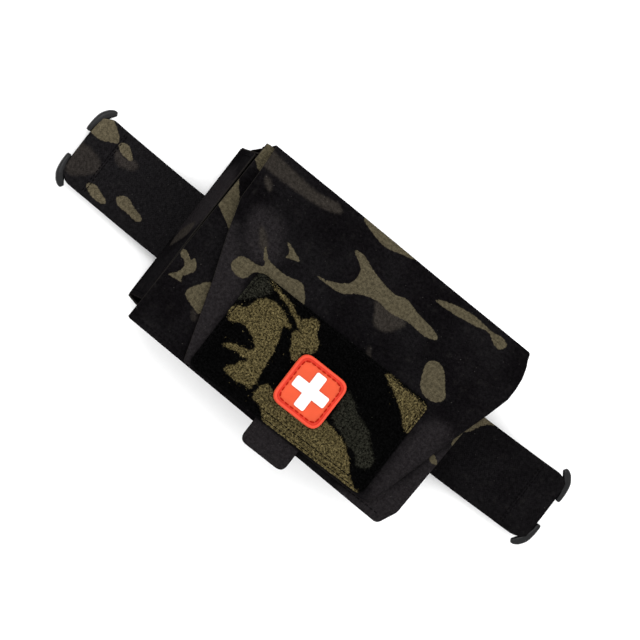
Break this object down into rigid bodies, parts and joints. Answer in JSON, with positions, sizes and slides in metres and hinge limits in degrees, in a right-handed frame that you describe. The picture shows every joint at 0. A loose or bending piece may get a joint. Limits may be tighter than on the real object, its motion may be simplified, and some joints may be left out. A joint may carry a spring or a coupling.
{
  "type": "tourniquet pouch",
  "caption": "Belt-mounted laminate tourniquet pouch: sleeve with over-flap and patch, slide-out insert on a two-handled pull strap, folded windlass tourniquet inside.",
  "frame": {"origin": "centre of the back panel's outer face, the face that bears on the belt", "axes": "+X along the pull strap, +Y towards the flap's fold, +Z away from the belt, out through the front"},
  "size_m": [0.352, 0.1423, 0.064],
  "materials": {
    "camo_laminate": "matte laminated nylon, black camouflage",
    "black_laminate": "matte laminated nylon, black",
    "camo_strap": "matte woven strap, black camouflage",
    "black_webbing": "matte woven nylon webbing",
    "loop_pile": "fuzzy loop pile, black and olive camouflage",
    "hook_tape": "moulded hook tape",
    "elastic": "ribbed elastic",
    "black_plastic": "fine-textured moulded nylon",
    "patch_red": "soft moulded rubber",
    "patch_rim": "soft moulded rubber",
    "patch_white": "soft moulded rubber",
    "stiffener_foam": "closed-cell foam sheet",
    "time_strap": "grey hook-and-loop strap"
  },
  "bodies": {
    "sleeve": {"back_panel": "camo_laminate", "side_wall_lower": "black_laminate", "side_wall_upper": "black_laminate", "front_panel": "camo_laminate", "closure_hook_left": "hook_tape", "closure_hook_right": "hook_tape", "belt_loop_left": "black_webbing", "belt_loop_right": "black_webbing"},
    "spine": {"flap_spine": "camo_laminate"},
    "flap": {"flap_panel": "camo_laminate", "loop_field": "loop_pile", "pull_tab_root": "black_webbing", "patch_hook_backing": "hook_tape", "patch_base": "patch_red", "patch_border": "patch_rim", "patch_cross": "patch_white", "closure_loop_left": "loop_pile", "closure_loop_right": "loop_pile"},
    "tab": {"pull_tab": "black_webbing"},
    "insert": {"insert_base": "camo_laminate", "insert_wall_lower": "camo_laminate", "insert_wall_upper": "camo_laminate", "insert_end_wall": "camo_laminate", "insert_stiffener": "stiffener_foam", "elastic_band_left": "elastic", "elastic_band_right": "elastic", "pull_strap": "camo_strap"},
    "left_handle": {"handle_left": "black_plastic"},
    "right_handle": {"handle_right": "black_plastic"},
    "tourniquet": {"tourniquet_band": "black_webbing", "windlass_base_plate": "black_plastic", "windlass_rod": "black_plastic", "windlass_clip_lower": "black_plastic", "windlass_clip_upper": "black_plastic", "time_strap": "time_strap", "tourniquet_buckle": "black_plastic"}
  },
  "joints": [
    {"name": "spine_fold", "type": "hinge", "parent": "sleeve", "child": "spine", "pos_m": [0, 0.0572, 0.0008], "axis": [-1, 0, 0], "range_deg": [0, 90]},
    {"name": "flap_fold", "type": "hinge", "parent": "spine", "child": "flap", "pos_m": [0, 0.0648, 0.0501], "axis": [-1, 0, 0], "range_deg": [0, 175]},
    {"name": "tab_bend", "type": "hinge", "parent": "flap", "child": "tab", "pos_m": [0.0098, -0.0656, 0.0503], "axis": [-1, 0, 0], "range_deg": [-70, 90]},
    {"name": "insert_slide", "type": "slide", "parent": "sleeve", "child": "insert", "axis": [1, 0, 0], "range_m": [-0.19, 0.19]},
    {"name": "tourniquet_slide", "type": "slide", "parent": "insert", "child": "tourniquet", "axis": [1, 0, 0], "range_m": [0, 0.19]},
    {"name": "handle_left_turn", "type": "hinge", "parent": "insert", "child": "left_handle", "pos_m": [-0.1688, 0, 0.005], "axis": [0, -1, 0], "range_deg": [-75, 10]},
    {"name": "handle_right_turn", "type": "hinge", "parent": "insert", "child": "right_handle", "pos_m": [0.1688, 0, 0.005], "axis": [0, 1, 0], "range_deg": [-75, 10]}
  ]
}
